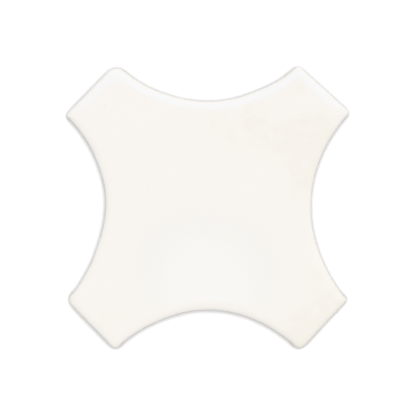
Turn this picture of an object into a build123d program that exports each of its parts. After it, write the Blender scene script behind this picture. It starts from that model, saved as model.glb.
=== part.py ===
from build123d import *
import os
from math import cos, pi, radians, sin, sqrt

# A glazed clay tile, cut by hand as a cross with four hollow sides and four square-cut tips.
# Laid in rows, each hollow side holds a quarter of a round tile, and the tips meet tip to tip.
# Sizes are in millimetres. The origin is the middle of the flat back, +Z points out of the
# glazed face, and +Y is the tile's top edge as it is looked at.

# Driving dimensions of the even cross
THICKNESS = 10.0
WAIST_WIDTH = 112.4  # between two opposite hollow sides, where they come nearest
TIP_REACH = 89.6  # middle of the tile to each cut tip, along the diagonal
TIP_WIDTH = 39.1  # along each cut tip, before its corners are rounded

# Driving dimensions of the edge
ROLL_WIDTH = 5.4  # how far in from the shoulder the face begins to fall away
ROLL_DROP = 2.2  # how far it has fallen at the shoulder
ROLL_POWER = 2.6  # 2 is a quarter ellipse, and more is flatter inside and fuller at the shoulder
ROLL_SOFTENING = 3.0  # what the corners' radii gain from the shoulder to the inside of the roll
ROLL_SECTIONS = 9
WALL_FLARE = 0.4  # how far the wall spreads from the shoulder down to the foot
FOOT_ARRIS = 0.6  # the small bevel round the back
CORNER_SHARE = 0.45  # the most of a tip's width that the rounding of one corner may take

# How this tile, cut by hand, departs from the even cross. For a hollow side: degrees that its
# centre is turned anticlockwise, then what its distance and its radius gain.
SIDES = {
    "right": (-0.3, 1.7, 2.4),
    "top": (0.2, 2.7, 2.1),
    "left": (0.1, -1.9, -1.6),
    "bottom": (-0.3, -2.7, -2.9),
}
# For a cut tip: degrees that it is turned anticlockwise, what its reach gains, and the radii of
# its two corners, first the one on the clockwise side.
TIPS = {
    "top_right": (2.6, -0.6, 1.6, 1.8),
    "top_left": (1.2, 0.0, 6.0, 0.9),
    "bottom_left": (-0.7, 0.8, 4.7, 2.9),
    "bottom_right": (1.8, -0.3, 3.9, 1.1),
}
SIDE_ORDER = ("right", "top", "left", "bottom")
TIP_ORDER = ("top_right", "top_left", "bottom_left", "bottom_right")

# The circle that a hollow side of the even cross follows. Its centre is straight out from the
# middle of the side, and it passes through the waist and the nearer corners of both tips.
TIP_CORNER = Vector(TIP_REACH, -TIP_WIDTH / 2).rotate(Axis.Z, 45)
CENTRE_DISTANCE = (TIP_CORNER.length**2 - (WAIST_WIDTH / 2) ** 2) / (2 * TIP_CORNER.X - WAIST_WIDTH)
HOLLOW_RADIUS = CENTRE_DISTANCE - WAIST_WIDTH / 2


def direction(degrees):
    """The unit vector this many degrees anticlockwise from +X."""
    return Vector(cos(radians(degrees)), sin(radians(degrees)))


def hollow(side, inset):
    """The centre and radius of the circle that a hollow side follows, this far inside the foot."""
    turn, further, wider = SIDES[side]
    towards = direction(90 * SIDE_ORDER.index(side) + turn)
    return towards * (CENTRE_DISTANCE + further), HOLLOW_RADIUS + wider + inset


def waist(side, inset):
    """The point of a hollow side that lies nearest the tile's middle."""
    centre, radius = hollow(side, inset)
    return centre - centre.normalized() * radius


def corner(side, tip, inset):
    """Where a hollow side and a cut tip would meet if their corner were sharp."""
    centre, radius = hollow(side, inset)
    turn, further = TIPS[tip][:2]
    outward = direction(45 + 90 * TIP_ORDER.index(tip) + turn)
    along = outward.rotate(Axis.Z, 90)
    offset = centre.dot(outward) - (TIP_REACH + further - inset)
    half_chord = sqrt(radius**2 - offset**2)
    midway = centre - outward * offset
    crossings = (midway - along * half_chord, midway + along * half_chord)
    return min(crossings, key=lambda point: abs(point.dot(along)))


def section(inset, height, softening=0.0):
    """The outline as a level face, this far inside the foot, with this much rounder corners."""
    edges, corners = [], []
    for n, tip in enumerate(TIP_ORDER):
        clockwise, onward = SIDE_ORDER[n], SIDE_ORDER[(n + 1) % 4]
        start, end = corner(clockwise, tip, inset), corner(onward, tip, inset)
        far_end = corner(onward, TIP_ORDER[(n + 1) % 4], inset)
        edges.append(Line(start, end))
        edges.append(ThreePointArc(end, waist(onward, inset), far_end))
        roundest = CORNER_SHARE * (end - start).length
        corners.append((start, min(TIPS[tip][2] + softening, roundest)))
        corners.append((end, min(TIPS[tip][3] + softening, roundest)))
    face = make_face(edges)
    for point, radius in corners:
        face = fillet(face.vertices().sort_by_distance(point)[0], radius)
    return Pos(0, 0, height) * face


def roll():
    """The rolled edge and the face within it, above the height of the shoulder."""
    sections = []
    for n in range(ROLL_SECTIONS):
        angle = pi / 2 * n / (ROLL_SECTIONS - 1)
        outwards = cos(angle) ** (2 / ROLL_POWER)
        upwards = sin(angle) ** (2 / ROLL_POWER)
        inset = WALL_FLARE + ROLL_WIDTH * (1 - outwards)
        height = THICKNESS - ROLL_DROP * (1 - upwards)
        sections.append(section(inset, height, ROLL_SOFTENING * (1 - outwards)))
    return loft(sections)


def tile():
    """The whole tile: bevelled foot, flared wall and rolled face, as one solid."""
    back = section(FOOT_ARRIS, 0)
    foot = section(0, FOOT_ARRIS)
    shoulder = section(WALL_FLARE, THICKNESS - ROLL_DROP)
    whole = loft([back, foot], ruled=True) + loft([foot, shoulder], ruled=True) + roll()
    middle = whole.bounding_box().center()
    return Pos(-middle.X, -middle.Y, 0) * whole


os.makedirs("parts", exist_ok=True)
export_step(tile(), "parts/clay_tile.step")
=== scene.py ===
from math import cos, pi, radians, sin, sqrt, tan

import bpy
import numpy as np
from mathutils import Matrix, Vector, noise

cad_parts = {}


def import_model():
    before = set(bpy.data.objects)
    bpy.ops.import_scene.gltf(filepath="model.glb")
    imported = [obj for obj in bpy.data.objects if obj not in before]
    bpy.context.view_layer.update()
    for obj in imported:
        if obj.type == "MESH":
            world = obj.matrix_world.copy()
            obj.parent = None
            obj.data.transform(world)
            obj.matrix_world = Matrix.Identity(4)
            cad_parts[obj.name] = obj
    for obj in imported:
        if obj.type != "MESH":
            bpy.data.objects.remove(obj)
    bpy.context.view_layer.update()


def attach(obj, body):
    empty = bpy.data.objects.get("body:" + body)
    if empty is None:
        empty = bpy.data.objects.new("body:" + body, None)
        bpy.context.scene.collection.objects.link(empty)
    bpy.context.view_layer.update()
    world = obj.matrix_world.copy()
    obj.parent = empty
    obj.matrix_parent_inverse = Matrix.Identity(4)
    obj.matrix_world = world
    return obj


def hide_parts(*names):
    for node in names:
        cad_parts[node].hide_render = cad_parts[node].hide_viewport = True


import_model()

# A hand-cut cross tile in warm white glaze, seen straight from above on a white floor. The packed
# solid is replaced by a finer mesh of the same shape, with the waves of the glaze, its thick wavy
# lower edge part way down the wall, and the bare clay below that and on the back.
# Shapes are worked out in millimetres, with plan positions as complex numbers, x + yj.
MM = 0.001

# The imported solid's dimensions
THICKNESS = 10.0
WAIST_WIDTH = 112.4
TIP_REACH = 89.6
TIP_WIDTH = 39.1
ROLL_WIDTH = 5.4
ROLL_DROP = 2.2
ROLL_POWER = 2.6
ROLL_SOFTENING = 3.0
WALL_FLARE = 0.4
FOOT_ARRIS = 0.6
SHOULDER = THICKNESS - ROLL_DROP

# Each hollow side: degrees that its centre is turned, then what its distance and its radius gain
SIDES = {
    "right": (-0.3, 1.7, 2.4),
    "top": (0.2, 2.7, 2.1),
    "left": (0.1, -1.9, -1.6),
    "bottom": (-0.3, -2.7, -2.9),
}
# Each cut tip: degrees that it is turned, what its reach gains, and its two corners' radii
TIPS = {
    "top_right": (2.6, -0.6, 1.6, 1.8),
    "top_left": (1.2, 0.0, 6.0, 0.9),
    "bottom_left": (-0.7, 0.8, 4.7, 2.9),
    "bottom_right": (1.8, -0.3, 3.9, 1.1),
}
SIDE_ORDER = ("right", "top", "left", "bottom")
TIP_ORDER = ("top_right", "top_left", "bottom_left", "bottom_right")

TIP_CORNER = complex(TIP_REACH, -TIP_WIDTH / 2) * np.exp(1j * pi / 4)
CENTRE_DISTANCE = (abs(TIP_CORNER) ** 2 - (WAIST_WIDTH / 2) ** 2) / (2 * TIP_CORNER.real - WAIST_WIDTH)
HOLLOW_RADIUS = CENTRE_DISTANCE - WAIST_WIDTH / 2

# Points round the tile
HOLLOW_POINTS = 128
CORNER_POINTS = 10
TIP_POINTS = 30

# Rings of points, from the middle of the back out, up the wall and in to the middle of the face
BACK_RINGS = 12
ARRIS_RINGS = 5
CLAY_RINGS = 8
BEAD_RINGS = 11
WALL_RINGS = 4
ROLL_RINGS = 28
FACE_RINGS = 25
SMALLEST_RING = 0.04  # the innermost ring of the back and of the face, as a share of the outermost

# The material slots of the mesh
GLAZE_SLOT = 0
CLAY_SLOT = 1

# Where the hand's cut of each hollow side bulges outward, or dips inward: the share of the way
# along it, anticlockwise from tip to tip, and how far
CUT_BULGES = {
    "right": ((0.0, -0.6), (0.25, 0.10), (0.60, -0.10), (1.0, -0.3)),
    "top": ((0.25, 0.45), (0.50, -0.20), (0.72, 0.15)),
    "left": ((0.45, -0.50), (0.72, 0.55), (1.0, -1.0)),
    "bottom": ((0.0, -0.6), (0.27, 0.40), (0.55, -0.15), (1.0, -0.45)),
}
CUT_BULGE_REACH = 0.09  # how far along the side a bulge reaches, as a share of it
# How much further than elsewhere the wall spreads to the foot at the two corners of each cut tip
TIP_FLARES = {
    "top_right": (0.4, 0.15),
    "top_left": (0.4, 0.6),
    "bottom_left": (0.6, 0.7),
    "bottom_right": (0.85, 0.7),
}
TIP_FLARE_REACH = 0.05  # how far along a hollow side that reaches, as a share of it

# The waves: how high each is, about how far apart its hills are, and the seed of its pattern
CUT_RIPPLE = (0.12, 9, 1.5)
ROLL_RIPPLE = (0.10, 23, 9.5)  # its height is a share of the roll's width
FACE_WAVE = (0.03, 34, 2.5)
FACE_RIPPLE = (0.006, 11, 6.5)
GLAZE_LINE_WAVE = (1.6, 17, 4.5)
GLAZE_LINE_RIPPLE = (0.5, 5, 7.5)

GLAZE_LINE = 2.6  # mean height of the glaze's lower edge above the back
GLAZE_THICKNESS = 0.25  # how far the bare clay lies back from the glaze
BEAD_PROUD = 0.15  # how far the glaze's thick lower edge stands out
BEAD_HEIGHT = 1.3
BEAD_FULLEST = 0.4  # where in its height it stands out furthest, as a share of it

# The colours, as light that they send back
WHITE = (1, 1, 1, 1)
GLAZE_WHITE = (0.937, 0.909, 0.866, 1)
GLAZE_WARM = (0.919, 0.880, 0.812, 1)
GLAZE_SPECK = (0.52, 0.42, 0.32, 1)
CLAY_BUFF = (0.70, 0.60, 0.475, 1)
CLAY_PALE = (0.78, 0.70, 0.59, 1)
CLAY_GROG = (0.40, 0.29, 0.20, 1)

# Where the glaze runs warmer: the middle and the radius of each patch, and its strength
WARM_PATCHES = (
    (59, 40, 20, 0.70),
    (50, 36, 20, 0.6),
    (54, 22, 18, 0.75),
    (51, 8, 12, 0.4),
    (36, 38, 16, 0.45),
    (25, 50, 12, 0.35),
    (20, 41, 16, 0.4),
    (3, 45, 12, 0.4),
    (49, 66, 9, 0.4),
    (50, -70, 18, 0.75),
    (61, -61, 20, 0.6),
    (71, -51, 16, 0.5),
    (57, -38, 12, 0.4),
    (-52, -59, 14, 0.3),
)
PATCH_CORE = 0.3  # the share of a patch's radius that has its full strength
# A noise is added to that strength, so that the patches get ragged edges. The glaze begins to be
# warmer where the sum passes the first of these, and is as warm as it gets past the second.
PATCH_LIMITS = (0.6, 1.4)
# What the palest and the warmest blotches make of a patch's warmth, and where in their noise each
# of these is reached
BLOTCH_SHARES = (0.5, 1.2)
BLOTCH_LIMITS = (0.35, 0.65)
# Faint specks in the glaze: the middle and the radius of each, and its strength
SPECKS = ((-55.6, 54.6, 0.9, 0.16), (-44.7, 27.8, 0.8, 0.05), (-32.3, 10.3, 0.9, 0.07))
SPECK_CORE = 0.2  # the share of a speck's radius that has its full strength

# Noises of the materials, which run from 0 to 1: the size of their blotches, how much finer
# detail they have, and how strong that is
PATCH_NOISE = (9, 3.0, 0.6)
BLOTCH_NOISE = (5, 2.0, 0.5)
TINT_NOISE = (30, 2.0, 0.5)
GLOSS_NOISE = (12, 2.0, 0.5)
PEEL_NOISE = (2.2, 1.0, 0.5)
BLOOM_NOISE = (19, 5.0, 0.65)
DRAG_NOISE = (1.1, 3.0, 0.6)
GRAIN_NOISE = (0.7, 4.0, 0.65)
MOST_OF_NOISE = (0.3, 0.7)  # most of such a noise lies between these

# The glaze
MOST_TINT = 0.06  # the most that it is warmer outside the patches
THIN_WARMTH = 0.45  # how much warmer it is where it runs thin, low on the roll
THIN_HEIGHTS = (THICKNESS - 0.3, SHOULDER + 0.5)  # where that begins, and where it is complete
GLAZE_ROUGHNESS = (0.05, 0.07)
PEEL_HEIGHT = 0.003  # how high the hills of its faint orange peel are
PITS = (13, 0.4)  # pinholes: how far apart and how wide
PIT_DEPTH = 0.02

# The bare clay
BLOOM_LIMITS = (0.2, 0.8)  # where in its noise the pale bloom begins, and where it is complete
CLAY_ROUGHNESS = (0.78, 0.92)
DRAG_STRETCH = (0.1, 1.0, 1.0)  # the wire's drag lines run along X
DRAG_TINT = 0.25  # how much paler or darker a drag line is
DRAG_HEIGHT = 0.15
GRAIN_HEIGHT = 0.12
PORES = (2.7, 0.45)  # how far apart and how wide
PORE_DEPTH = 0.15
GROG = (1.6, 0.5)  # how far apart and how wide
GROG_STRENGTH = 0.45

# The photograph's frame, in metres: how wide it is at the tile's face, how far above the face the
# camera is, and where the middle of the frame is
FRAME_WIDTH = 0.2239
CAMERA_HEIGHT = 1.1
VIEW_MIDDLE = (0.00008, -0.00038)

# The light: the shares of it that come from the sky and from the key, where 1 is plain light, and
# how bright the floor is made for what it lights, for gloss and for the camera
SKY_SHARE = 0.853
KEY_SHARE = 0.150
KEY_AZIMUTH = 62
KEY_TILT = 40
KEY_SPREAD = 80  # how much of the sky the lamp takes up, in degrees
FLOOR_HALF = 4.0  # metres from the floor's middle to its sides
FLOOR_PLAIN = 0.66
FLOOR_IN_GLOSS = 1.0
FLOOR_SEEN = 1.4
# How far from the tile the floor's painted contact shade reaches, in metres, and its darkest colour
CONTACT_WIDTH = 0.0036
PAINTED_SHADE_DARKEST = (0.20, 0.245, 0.315, 1)
CONTACT_SAMPLES = 16

# What the gloss shows in the white sky. Places and half sizes are in plan, for each metre of
# height: the camera overhead is a faint grey ring with a pale middle and a glint below it.
CAMERA_RING = ((-0.001, -0.029), (0.038, 0.0295), (0.46, 0.72, 0.88, 1))
CAMERA_MIDDLE = ((0.0, -0.035), (0.022, 0.021), (1.0, 1.48, 1.68, 1))
CAMERA_GLINT = ((0.002, -0.047), (0.009, 0.003), (1.0, 2.3, 5.0, 1))
OVAL_BLUR = 0.1  # how far the edge of each fades either way, as a share of its half size
# The window is a wedge of sky about one azimuth, from near overhead to part way down
WINDOW_AZIMUTH = 91
WINDOW_HALF_TURN = 48
WINDOW_TILTS = (5.5, 54)
WINDOW_END_BLURS = (0.2, 0.1)  # how far its near and its far end fade, as shares of their distance
WINDOW_SIDE_BLUR = 4  # how many degrees its two sides fade either way
WINDOW_COLOUR = (0.7, 1.35, 2.45, 1)


def direction(degrees):
    """The unit vector this many degrees anticlockwise from +X."""
    return np.exp(1j * radians(degrees))


def hollow(side, inset):
    """The centre and radius of the circle that a hollow side follows, this far inside the foot."""
    turn, further, wider = SIDES[side]
    towards = direction(90 * SIDE_ORDER.index(side) + turn)
    return towards * (CENTRE_DISTANCE + further), HOLLOW_RADIUS + wider + inset


def outward_of(tip):
    """The direction that a cut tip faces."""
    return direction(45 + 90 * TIP_ORDER.index(tip) + TIPS[tip][0])


def corner(side, tip, inset):
    """Where a hollow side and a cut tip would meet if their corner were sharp."""
    centre, radius = hollow(side, inset)
    reach = TIP_REACH + TIPS[tip][1] - inset
    seen_from_tip = centre / outward_of(tip)
    half_chord = sqrt(radius**2 - (seen_from_tip.real - reach) ** 2)
    along = min(seen_from_tip.imag - half_chord, seen_from_tip.imag + half_chord, key=abs)
    return outward_of(tip) * complex(reach, along)


def turning(start, end, count):
    """Unit vectors from one direction to the other the short way round, without the last."""
    swing = np.angle(end / start)
    return start / abs(start) * np.exp(1j * np.linspace(0, swing, count, endpoint=False))


def outline(inset, softening=0.0):
    """The points round the tile this far inside the foot, and the way that each one faces. The
    radii of the corners gain this softening."""
    points, facings = [], []
    for n, tip in enumerate(TIP_ORDER):
        clockwise, onward = SIDE_ORDER[n], SIDE_ORDER[(n + 1) % 4]
        after = TIP_ORDER[(n + 1) % 4]
        outward = outward_of(tip)
        first, second = TIPS[tip][2] + softening, TIPS[tip][3] + softening
        third = TIPS[after][2] + softening
        first_centre = corner(clockwise, tip, inset + first)
        second_centre = corner(onward, tip, inset + second)
        third_centre = corner(onward, after, inset + third)
        centre, radius = hollow(onward, inset)
        turn = turning(hollow(clockwise, inset)[0] - first_centre, outward, CORNER_POINTS)
        points.append(first_centre + first * turn)
        facings.append(turn)
        straight = np.linspace(0, 1, TIP_POINTS, endpoint=False)
        start, end = first_centre + first * outward, second_centre + second * outward
        points.append(start + (end - start) * straight)
        facings.append(np.full(TIP_POINTS, outward))
        turn = turning(outward, centre - second_centre, CORNER_POINTS)
        points.append(second_centre + second * turn)
        facings.append(turn)
        turn = turning(second_centre - centre, third_centre - centre, HOLLOW_POINTS)
        points.append(centre + radius * turn)
        facings.append(-turn)
    return np.concatenate(points), np.concatenate(facings)


def waves(places, height, length, seed):
    """Smooth noise of this height at plan positions, its hills about this many millimetres apart."""
    sites = [Vector((place.real / length, place.imag / length, seed)) for place in places]
    return height * np.array([noise.noise(site) for site in sites])


def stray(side, share):
    """How far outward the hand's cut strays at this share of the way along a hollow side."""
    bulges = CUT_BULGES[side]
    return sum(size * np.exp(-(((share - place) / CUT_BULGE_REACH) ** 2)) for place, size in bulges)


def cut_wander():
    """How far the hand's cut strays outward from the true outline, round the tile. At a corner the
    stray of the hollow side fades out towards the cut tip."""
    share = np.linspace(0, 1, HOLLOW_POINTS, endpoint=False)
    fading = np.linspace(1, 0, CORNER_POINTS)
    wander = []
    for n, clockwise in enumerate(SIDE_ORDER):
        onward = SIDE_ORDER[(n + 1) % 4]
        wander.append(stray(clockwise, 1) * fading)
        wander.append(np.zeros(TIP_POINTS))
        wander.append(stray(onward, 0) * fading[::-1])
        wander.append(stray(onward, share))
    return np.concatenate(wander)


def tip_flare():
    """How much further the wall spreads to the foot, round the tile."""
    share = np.linspace(0, 1, HOLLOW_POINTS, endpoint=False)
    leaving = np.clip(1 - share / TIP_FLARE_REACH, 0, 1) ** 2
    arriving = np.clip(1 - (1 - share) / TIP_FLARE_REACH, 0, 1) ** 2
    flares = []
    for n, tip in enumerate(TIP_ORDER):
        first, second = TIP_FLARES[tip]
        third = TIP_FLARES[TIP_ORDER[(n + 1) % 4]][0]
        flares.append(np.full(CORNER_POINTS, first))
        flares.append(np.linspace(first, second, TIP_POINTS, endpoint=False))
        flares.append(np.full(CORNER_POINTS, second))
        flares.append(second * leaving + third * arriving)
    return np.concatenate(flares)


FOOT, _ = outline(0)
FLARE = tip_flare()
MIDDLE = complex((FOOT.real.max() + FOOT.real.min()) / 2, (FOOT.imag.max() + FOOT.imag.min()) / 2)
WANDER = cut_wander() + waves(FOOT, *CUT_RIPPLE)
GLAZE_EDGE = GLAZE_LINE + waves(FOOT, *GLAZE_LINE_WAVE) + waves(FOOT, *GLAZE_LINE_RIPPLE)


def ring(inset, height, softening=0.0, spread=0.0):
    """One ring of the mesh, this far inside the foot, this high, and then spread outward this far.
    inset, height and spread may each differ from point to point."""
    points, facings = outline(float(np.mean(inset)), softening)
    flare = FLARE * np.clip(1 - height / SHOULDER, 0, 1)
    points = points + facings * (np.mean(inset) - inset + WANDER + flare + spread) - MIDDLE
    return np.stack((points.real, points.imag, np.broadcast_to(height, points.shape)), 1)


def wall_inset(height):
    """How far the solid's wall lies inside its foot at this height."""
    return WALL_FLARE * (height - FOOT_ARRIS) / (SHOULDER - FOOT_ARRIS)


def shrunk(outer, shares):
    """Rings inside this one, drawn in towards the tile's middle by these shares."""
    return [outer * (share, share, 1) for share in shares]


def back_rings():
    """The flat back, from its middle out, and the soft arris round it."""
    rim = ring(FOOT_ARRIS, 0)
    rings = shrunk(rim, np.linspace(SMALLEST_RING, 1, BACK_RINGS))
    for angle in np.linspace(0, pi / 2, ARRIS_RINGS + 1)[1:]:
        rings.append(ring(FOOT_ARRIS * (1 - sin(angle)), FOOT_ARRIS * (1 - cos(angle))))
    return rings


def clay_rings():
    """The bare clay of the wall, up to where the glaze ends. It slopes back for the glaze's
    thickness in its lower half, and keeps that far back above."""
    rings = []
    for share in np.linspace(0, 1, CLAY_RINGS + 1)[1:]:
        height = FOOT_ARRIS + (GLAZE_EDGE - FOOT_ARRIS) * share
        rings.append(ring(wall_inset(height) + GLAZE_THICKNESS * min(1, 2 * share), height))
    return rings


def bead_rings():
    """The glaze's thick lower edge, from under it to the plain glaze above it."""
    rings = []
    for share in np.linspace(0, 1, BEAD_RINGS + 1)[1:]:
        height = GLAZE_EDGE + BEAD_HEIGHT * share
        if share < BEAD_FULLEST:
            fullness = sqrt(1 - (1 - share / BEAD_FULLEST) ** 2)
            out = (GLAZE_THICKNESS + BEAD_PROUD) * fullness - GLAZE_THICKNESS
        else:
            out = BEAD_PROUD * cos((share - BEAD_FULLEST) / (1 - BEAD_FULLEST) * pi / 2) ** 2
        rings.append(ring(wall_inset(height), height, spread=out))
    return rings


def glazed_wall_rings():
    """The glazed wall, from above the bead up to just under the shoulder."""
    low = GLAZE_EDGE + BEAD_HEIGHT
    heights = [low + (SHOULDER - low) * share for share in np.linspace(0, 1, WALL_RINGS + 2)[1:-1]]
    return [ring(wall_inset(height), height) for height in heights]


def roll_rings():
    """The rolled edge, from the shoulder up to the flat of the face."""
    width = ROLL_WIDTH * (1 + waves(FOOT, *ROLL_RIPPLE))
    rings = []
    for angle in np.linspace(0, pi / 2, ROLL_RINGS):
        outwards = cos(angle) ** (2 / ROLL_POWER)
        upwards = sin(angle) ** (2 / ROLL_POWER)
        inset = WALL_FLARE + width * (1 - outwards)
        height = THICKNESS - ROLL_DROP * (1 - upwards)
        rings.append(ring(inset, height, ROLL_SOFTENING * (1 - outwards)))
    return rings


def relief(points):
    """The points with the glaze's waves added to the height of the face, fading out down the
    roll."""
    places = points[:, 0] + 1j * points[:, 1]
    height = waves(places, *FACE_WAVE) + waves(places, *FACE_RIPPLE)
    fade = np.clip((points[:, 2] - SHOULDER) / ROLL_DROP, 0, 1)
    return points + np.stack((np.zeros_like(height), np.zeros_like(height), height * fade), 1)


def faces_and_slots(ring_count, clay_count):
    """The faces that join the rings and close the middles of the back and of the face, and the
    material slot of each. From the back's middle on, clay_count of the rings are bare clay."""
    around = len(FOOT)
    last = (ring_count - 1) * around
    back_middle, face_middle = ring_count * around, ring_count * around + 1
    faces, slots = [], []
    for n in range(ring_count - 1):
        for i in range(around):
            low, high, onward = n * around, (n + 1) * around, (i + 1) % around
            faces.append((low + i, low + onward, high + onward, high + i))
            slots.append(CLAY_SLOT if n < clay_count - 1 else GLAZE_SLOT)
    for i in range(around):
        faces.append((back_middle, (i + 1) % around, i))
        slots.append(CLAY_SLOT)
        faces.append((face_middle, last + i, last + (i + 1) % around))
        slots.append(GLAZE_SLOT)
    return faces, slots


def tile_mesh():
    """The tile as one closed mesh of rings, bare clay below the glaze's edge and glaze above it."""
    bare = back_rings() + clay_rings()
    roll = roll_rings()
    face = shrunk(roll[-1], np.linspace(1, SMALLEST_RING, FACE_RINGS + 1)[1:])
    rings = bare + bead_rings() + glazed_wall_rings() + roll + face
    points = relief(np.concatenate(rings))
    top = float(points[-len(FOOT):, 2].mean())
    points = np.concatenate((points, [[0, 0, 0], [0, 0, top]]))
    faces, slots = faces_and_slots(len(rings), len(bare))
    mesh = bpy.data.meshes.new("glazed_tile")
    mesh.from_pydata((points * MM).tolist(), [], faces)
    mesh.polygons.foreach_set("material_index", slots)
    mesh.polygons.foreach_set("use_smooth", [True] * len(faces))
    mesh.update()
    return mesh


def add(tree, kind, inputs=None, **settings):
    """A shader node with these settings, and with sockets linked to its inputs or values set on
    them."""
    node = tree.nodes.new(kind)
    for name, value in settings.items():
        setattr(node, name, value)
    for name, value in (inputs or {}).items():
        if isinstance(value, bpy.types.NodeSocket):
            tree.links.new(value, node.inputs[name])
        else:
            node.inputs[name].default_value = value
    return node


def new_material(name):
    """A material with an empty node tree, that tree, and its output node."""
    material = bpy.data.materials.new(name)
    material.use_nodes = True
    material.node_tree.nodes.clear()
    return material, material.node_tree, material.node_tree.nodes.new("ShaderNodeOutputMaterial")


def mixed(tree, factor, first, second):
    """The colour between two others, at this factor. The sockets are given by their numbers,
    because a mix node has the same names for those of colours and of plain values."""
    return add(tree, "ShaderNodeMix", {0: factor, 6: first, 7: second}, data_type="RGBA").outputs[2]


def maths(tree, operation, first, second):
    """One sum on two values."""
    return add(tree, "ShaderNodeMath", {0: first, 1: second}, operation=operation).outputs[0]


def on_vectors(tree, operation, *given):
    """One sum on vectors. Its result is the output Vector or Value."""
    return add(tree, "ShaderNodeVectorMath", dict(enumerate(given)), operation=operation).outputs


def cloud(tree, place, size, detail, rough):
    """Noise from 0 to 1 with blotches about this many millimetres across."""
    inputs = {"Vector": place, "Scale": 1 / (size * MM), "Detail": detail, "Roughness": rough}
    return add(tree, "ShaderNodeTexNoise", inputs).outputs["Fac"]


def ranged(tree, value, low, high, to_low=0.0, to_high=1.0):
    """The value between low and high carried over to another range, with soft ends."""
    inputs = {"Value": value, "From Min": low, "From Max": high, "To Min": to_low, "To Max": to_high}
    return add(tree, "ShaderNodeMapRange", inputs, interpolation_type="SMOOTHSTEP").outputs["Result"]


def specks(tree, place, spacing, size):
    """1 inside round specks of this size, scattered about this far apart, and 0 elsewhere. They
    fade over the outer third of their radius."""
    cells = add(tree, "ShaderNodeTexVoronoi", {"Vector": place, "Scale": 1 / (spacing * MM)})
    return ranged(tree, cells.outputs["Distance"], size / spacing / 2, size / spacing / 3)


def spots(tree, place, rows, core):
    """Soft round spots on the face, each with its middle, radius and strength, added up. core is
    the share of the radius that has the full strength."""
    total = None
    for x, y, radius, strength in rows:
        away = on_vectors(tree, "DISTANCE", place, (x * MM, y * MM, THICKNESS * MM))["Value"]
        spot = ranged(tree, away, radius * MM, radius * MM * core, 0.0, strength)
        total = spot if total is None else maths(tree, "ADD", total, spot)
    return total


def warmth(tree, place):
    """How warm the glaze runs: soft patches, broken up by blotches."""
    patches = spots(tree, place, WARM_PATCHES, PATCH_CORE)
    ragged = maths(tree, "ADD", patches, cloud(tree, place, *PATCH_NOISE))
    warm = ranged(tree, ragged, *PATCH_LIMITS)
    blotches = ranged(tree, cloud(tree, place, *BLOTCH_NOISE), *BLOTCH_LIMITS, *BLOTCH_SHARES)
    return maths(tree, "MULTIPLY", warm, blotches)


def shaded(tree, output, colour, roughness, height):
    """Ends a material with its shader. height is its fine relief, in metres."""
    bump = add(tree, "ShaderNodeBump", {"Height": height, "Distance": 1.0, "Strength": 1.0})
    inputs = {"Base Color": colour, "Roughness": roughness, "Normal": bump.outputs["Normal"]}
    shader = add(tree, "ShaderNodeBsdfPrincipled", inputs)
    tree.links.new(shader.outputs["BSDF"], output.inputs["Surface"])


def glaze():
    """Warm white glaze: even, glossy, faintly uneven in colour, with a very slight orange peel."""
    material, tree, output = new_material("white_glaze")
    place = add(tree, "ShaderNodeTexCoord").outputs["Object"]
    faint = ranged(tree, cloud(tree, place, *TINT_NOISE), *MOST_OF_NOISE, 0.0, MOST_TINT)
    level = add(tree, "ShaderNodeSeparateXYZ", {"Vector": place}).outputs["Z"]
    begins, ends = (height * MM for height in THIN_HEIGHTS)
    thin = ranged(tree, level, begins, ends, 0.0, THIN_WARMTH)
    warm = maths(tree, "ADD", maths(tree, "ADD", warmth(tree, place), thin), faint)
    plain = mixed(tree, warm, GLAZE_WHITE, GLAZE_WARM)
    colour = mixed(tree, spots(tree, place, SPECKS, SPECK_CORE), plain, GLAZE_SPECK)
    roughness = ranged(tree, cloud(tree, place, *GLOSS_NOISE), *MOST_OF_NOISE, *GLAZE_ROUGHNESS)
    peel = maths(tree, "MULTIPLY", cloud(tree, place, *PEEL_NOISE), PEEL_HEIGHT * MM)
    pits = maths(tree, "MULTIPLY", specks(tree, place, *PITS), -PIT_DEPTH * MM)
    shaded(tree, output, colour, roughness, maths(tree, "ADD", peel, pits))
    return material


def bare_clay():
    """Fired buff clay: matt, grainy, with a paler bloom, the faint drag lines of the wire that cut
    it, and small darker grains of grog."""
    material, tree, output = new_material("bare_clay")
    place = add(tree, "ShaderNodeTexCoord").outputs["Object"]
    drawn = on_vectors(tree, "MULTIPLY", place, DRAG_STRETCH)["Vector"]
    drag = cloud(tree, drawn, *DRAG_NOISE)
    bloom = ranged(tree, cloud(tree, place, *BLOOM_NOISE), *BLOOM_LIMITS)
    lines = ranged(tree, drag, *MOST_OF_NOISE, -DRAG_TINT, DRAG_TINT)
    plain = mixed(tree, maths(tree, "ADD", bloom, lines), CLAY_BUFF, CLAY_PALE)
    grog = maths(tree, "MULTIPLY", specks(tree, place, *GROG), GROG_STRENGTH)
    colour = mixed(tree, grog, plain, CLAY_GROG)
    grain = maths(tree, "MULTIPLY", cloud(tree, place, *GRAIN_NOISE), GRAIN_HEIGHT * MM)
    pores = maths(tree, "MULTIPLY", specks(tree, place, *PORES), -PORE_DEPTH * MM)
    dragged = maths(tree, "MULTIPLY", drag, DRAG_HEIGHT * MM)
    height = maths(tree, "ADD", maths(tree, "ADD", grain, pores), dragged)
    roughness = ranged(tree, bloom, 0.0, 1.0, *CLAY_ROUGHNESS)
    shaded(tree, output, colour, roughness, height)
    return material


def background_rays(tree):
    """1 for the rays that show the background: those of the camera, of gloss and of glass."""
    path = add(tree, "ShaderNodeLightPath").outputs
    seen = maths(tree, "MAXIMUM", path["Is Camera Ray"], path["Is Glossy Ray"])
    return maths(tree, "MAXIMUM", seen, path["Is Transmission Ray"])


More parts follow.
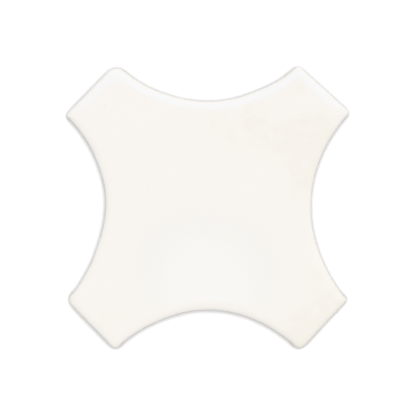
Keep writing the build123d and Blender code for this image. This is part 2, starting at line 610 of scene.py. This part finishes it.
def painted_contact_shade(tree):
    """Painted shade in the floor's colour: white in the open, darker within a few millimetres of the
    tile, where hardly any light gets in, and painted cool there against the warm light off the tile."""
    inputs = {"Distance": CONTACT_WIDTH}
    near = add(tree, "ShaderNodeAmbientOcclusion", inputs, samples=CONTACT_SAMPLES)
    return mixed(tree, near.outputs["AO"], PAINTED_SHADE_DARKEST, WHITE)


def white_floor():
    """The floor's material. The camera sees it brighter than it lights the tile, so it is white but
    for the shadow that lies close round the tile: its real shadow, with painted shade in its colour."""
    material, tree, output = new_material("white_floor")
    path = add(tree, "ShaderNodeLightPath").outputs
    mirrored = ranged(tree, background_rays(tree), 0.0, 1.0, FLOOR_PLAIN, FLOOR_IN_GLOSS)
    brightness = ranged(tree, path["Is Camera Ray"], 0.0, 1.0, mirrored, FLOOR_SEEN)
    # The painted contact shade darkens the floor's colour for every kind of ray
    inputs = {0: painted_contact_shade(tree), "Scale": brightness}
    shade = add(tree, "ShaderNodeVectorMath", inputs, operation="SCALE").outputs["Vector"]
    shader = add(tree, "ShaderNodeBsdfDiffuse", {"Color": shade})
    tree.links.new(shader.outputs["BSDF"], output.inputs["Surface"])
    return material


def floor():
    """A wide floor, level with the tile's back."""
    mesh = bpy.data.meshes.new("floor")
    corners = [(x * FLOOR_HALF, y * FLOOR_HALF, 0) for x, y in ((-1, -1), (1, -1), (1, 1), (-1, 1))]
    mesh.from_pydata(corners, [], [(0, 1, 2, 3)])
    mesh.materials.append(white_floor())
    thing = bpy.data.objects.new("floor", mesh)
    bpy.context.scene.collection.objects.link(thing)


def sky_plan(tree):
    """Where a ray meets a ceiling one metre up, in plan, straight above being the middle."""
    way = add(tree, "ShaderNodeTexCoord").outputs["Generated"]
    parts = add(tree, "ShaderNodeSeparateXYZ", {"Vector": way}).outputs
    across = maths(tree, "DIVIDE", parts["X"], parts["Z"])
    up = maths(tree, "DIVIDE", parts["Y"], parts["Z"])
    return add(tree, "ShaderNodeCombineXYZ", {"X": across, "Y": up}).outputs["Vector"]


def oval(tree, plan, middle, half):
    """1 inside this oval of the sky, fading to 0 outside it."""
    moved = on_vectors(tree, "SUBTRACT", plan, (*middle, 0))["Vector"]
    scaled = on_vectors(tree, "MULTIPLY", moved, (1 / half[0], 1 / half[1], 1))["Vector"]
    away = on_vectors(tree, "LENGTH", scaled)["Value"]
    return ranged(tree, away, 1 + OVAL_BLUR, 1 - OVAL_BLUR)


def window(tree, plan):
    """1 inside the window, a wedge of the sky, fading to 0 outside it."""
    nearest, furthest = (tan(radians(tilt)) for tilt in WINDOW_TILTS)
    near_blur, far_blur = WINDOW_END_BLURS
    out = on_vectors(tree, "LENGTH", plan)["Value"]
    far_enough = ranged(tree, out, nearest * (1 - near_blur), nearest * (1 + near_blur))
    near_enough = ranged(tree, out, furthest * (1 + far_blur), furthest * (1 - far_blur))
    way = on_vectors(tree, "NORMALIZE", plan)["Vector"]
    axis = direction(WINDOW_AZIMUTH)
    along = on_vectors(tree, "DOT_PRODUCT", way, (axis.real, axis.imag, 0))["Value"]
    outside = cos(radians(WINDOW_HALF_TURN + WINDOW_SIDE_BLUR))
    inside = cos(radians(WINDOW_HALF_TURN - WINDOW_SIDE_BLUR))
    within = ranged(tree, along, outside, inside)
    return maths(tree, "MULTIPLY", within, maths(tree, "MULTIPLY", far_enough, near_enough))


def world():
    """Soft white light from all round. The camera sees it plain white, and gloss sees it white
    with a window and the camera in it."""
    sky = bpy.data.worlds.new("studio")
    sky.use_nodes = True
    tree = sky.node_tree
    tree.nodes.clear()
    plan = sky_plan(tree)
    picture = mixed(tree, window(tree, plan), WHITE, WINDOW_COLOUR)
    for middle, half, colour in (CAMERA_RING, CAMERA_MIDDLE, CAMERA_GLINT):
        picture = mixed(tree, oval(tree, plan, middle, half), picture, colour)
    path = add(tree, "ShaderNodeLightPath").outputs
    shown = mixed(tree, path["Is Glossy Ray"], WHITE, picture)
    strength = ranged(tree, background_rays(tree), 0.0, 1.0, SKY_SHARE, 1.0)
    light = add(tree, "ShaderNodeBackground", {"Color": shown, "Strength": strength})
    output = tree.nodes.new("ShaderNodeOutputWorld")
    tree.links.new(light.outputs["Background"], output.inputs["Surface"])
    bpy.context.scene.world = sky


def key():
    """A broad soft lamp, high up over the top right. It lights the tile and doesn't show in the
    gloss."""
    data = bpy.data.lights.new("key", "SUN")
    data.angle = radians(KEY_SPREAD)
    data.energy = pi * KEY_SHARE / cos(radians(KEY_TILT))
    thing = bpy.data.objects.new("key", data)
    level = direction(KEY_AZIMUTH) * sin(radians(KEY_TILT))
    towards = Vector((level.real, level.imag, cos(radians(KEY_TILT))))
    thing.location = towards
    thing.rotation_euler = towards.to_track_quat("Z", "Y").to_euler()
    thing.visible_glossy = False
    bpy.context.scene.collection.objects.link(thing)


def camera():
    """The photograph's camera, straight above the tile, its frame this wide at the face."""
    thing = bpy.data.objects.new("camera", bpy.data.cameras.new("camera"))
    thing.data.lens = thing.data.sensor_width * CAMERA_HEIGHT / FRAME_WIDTH
    thing.location = (*VIEW_MIDDLE, CAMERA_HEIGHT + THICKNESS * MM)
    bpy.context.scene.collection.objects.link(thing)
    bpy.context.scene.camera = thing


tile = bpy.data.objects.new("glazed_tile", tile_mesh())
tile.data.materials.append(glaze())
tile.data.materials.append(bare_clay())
bpy.context.scene.collection.objects.link(tile)
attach(tile, "root")
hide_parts("clay_tile")

floor()
world()
key()
camera()
bpy.context.scene.view_settings.view_transform = "Standard"
